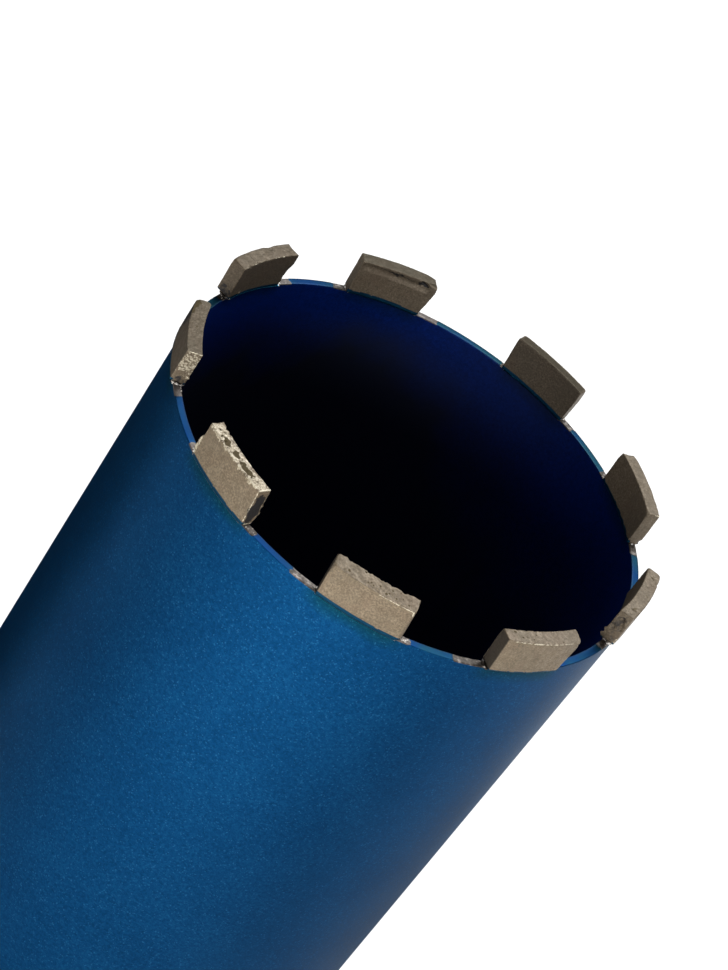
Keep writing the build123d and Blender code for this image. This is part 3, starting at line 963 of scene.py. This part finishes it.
def make_thread():
    """The thread's ridge inside the hub, a helix swept from its section."""
    first_height = 2.1 * MM
    turns = 10.6
    steps_a_turn = 32
    count = round(turns * steps_a_turn)
    root = THREAD_RADIUS + 0.05 * MM
    crest = THREAD_RADIUS - 1.9 * MM
    ridge = [(root, -1.5 * MM), (crest, -0.38 * MM), (crest, 0.38 * MM), (root, 1.5 * MM)]
    bm = bmesh.new()
    corners = [bm.verts.new((radius, 0, first_height + height)) for radius, height in ridge]
    section = bm.faces.new(corners)
    bmesh.ops.spin(bm, geom=[section] + list(section.edges) + corners, cent=(0, 0, 0),
                   axis=(0, 0, 1), dvec=(0, 0, THREAD_PITCH / steps_a_turn),
                   angle=2 * pi * count / steps_a_turn, steps=count, use_duplicate=False)
    bmesh.ops.recalc_face_normals(bm, faces=bm.faces)
    piece("spindle_thread_ridge", bm, STEEL)


# ---------------------------------------------------------------- floor and light
def make_floor():
    """A plain pale floor."""
    bm = bmesh.new()
    bmesh.ops.create_circle(bm, cap_ends=True, segments=96, radius=6)
    floor = object_of("floor", bm)
    material, _, shader = finish_of("pale_floor")
    shader.inputs["Base Color"].default_value = (0.9, 0.9, 0.9, 1)
    shader.inputs["Roughness"].default_value = 0.9
    shader.inputs["Specular IOR Level"].default_value = 0.1
    floor.data.materials.append(material)


# Dark sheets close above the floor: (two corners in metres, how dark, width of the soft edge).
DARK_SHEETS = {
    "left_sheet": (((-0.9, -0.02), (0.1, 1.5)), 1.0, 0.1),
    "near_left_sheet": (((-0.62, -0.42), (-0.18, 0.06)), 0.48, 0.12),
    "near_right_sheet": (((0.2, -0.42), (0.6, 0.0)), 0.5, 0.12),
    "right_sheet": (((0.3, -0.35), (0.9, 0.15)), 0.25, 0.15),
    "far_sheet": (((-0.05, 0.1), (0.3, 0.6)), 0.5, 0.1),
    "close_sheet": (((-0.5, -0.5), (0.5, 0.38)), 0.45, 0.15),
}
LOWEST_SHEET = 4 * MM
SHEET_STEP = 1 * MM


def soft_edged_dark(name, corners, strength, soft):
    """Black in the middle of a sheet, clearing to nothing over its soft edge."""
    material = bpy.data.materials.new(name)
    material.use_nodes = True
    tree = material.node_tree
    tree.nodes.clear()
    apart = add(tree, "ShaderNodeSeparateXYZ", {"Vector": object_place(tree)}).outputs
    mask = strength
    for axis, low, high in zip("XY", *corners):
        mask = maths(tree, "MULTIPLY", steps(tree, apart[axis], low, low + soft), mask)
        mask = maths(tree, "MULTIPLY", steps(tree, apart[axis], high, high - soft), mask)
    clear = add(tree, "ShaderNodeBsdfTransparent").outputs[0]
    dark = add(tree, "ShaderNodeBsdfDiffuse", {"Color": (0, 0, 0, 1)}).outputs[0]
    mix = add(tree, "ShaderNodeMixShader", {0: mask, 1: clear, 2: dark})
    add(tree, "ShaderNodeOutputMaterial", {"Surface": mix.outputs[0]})
    return material


def dark_sheet(name, corners, strength, soft, height):
    """A dark sheet that only reflections see, as a studio's black cards are used."""
    (x0, y0), (x1, y1) = corners
    bm = bmesh.new()
    bmesh.ops.create_grid(bm, x_segments=1, y_segments=1, size=0.5)
    bmesh.ops.scale(bm, vec=(x1 - x0, y1 - y0, 1), verts=bm.verts)
    bmesh.ops.translate(bm, vec=((x0 + x1) / 2, (y0 + y1) / 2, height), verts=bm.verts)
    sheet = object_of(name, bm)
    sheet.visible_camera = False
    sheet.visible_diffuse = False
    sheet.visible_shadow = False
    sheet.data.materials.append(soft_edged_dark(name, corners, strength, soft))


def soft_light(name, place, target, size, power, colour=(1, 1, 1)):
    """A large flat light that points at a target."""
    light = bpy.data.lights.new(name, "AREA")
    light.shape = "RECTANGLE"
    light.size, light.size_y = size
    light.energy = power
    light.color = colour
    lamp = bpy.data.objects.new(name, light)
    bpy.context.scene.collection.objects.link(lamp)
    lamp.location = place
    lamp.rotation_euler = (Vector(target) - Vector(place)).to_track_quat("-Z", "Y").to_euler()
    lamp.visible_camera = False
    return lamp


def set_light():
    """Soft studio light: one light overhead and two in front, with dark sheets to shade the gloss."""
    world = bpy.data.worlds.new("studio")
    bpy.context.scene.world = world
    world.use_nodes = True
    background = world.node_tree.nodes["Background"]
    background.inputs["Color"].default_value = (1, 1, 1, 1)
    background.inputs["Strength"].default_value = 0.15
    soft_light("overhead", (0.2, 1.2, 2.2), (0.0, 0.5, 0), (2.0, 2.0), 75)
    front_low = soft_light("front_low", (-0.1, -1.2, 0.12), (0, 0, 0.2), (1.2, 0.22), 20, (1, 0.97, 0.9))
    front_low.visible_glossy = False
    soft_light("front_high", (0.35, -1.15, 0.57), (0, 0, 0.35), (2.2, 0.2), 11)
    for count, (name, (corners, strength, soft)) in enumerate(DARK_SHEETS.items()):
        dark_sheet(name, corners, strength, soft, LOWEST_SHEET + count * SHEET_STEP)
    view = bpy.context.scene.view_settings
    view.view_transform = "Standard"
    view.look = "None"


set_camera()
make_floor()
set_light()
make_barrel()
for number in range(1, SEGMENTS + 1):
    make_segment(number)
for number in range(1, SEGMENTS + 1):
    make_solder(number)
make_welds()
make_thread()
for name, finish in (("back_plate", PAINT), ("hub", STEEL)):
    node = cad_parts[name]
    node.data.materials.clear()
    node.data.materials.append(finish)
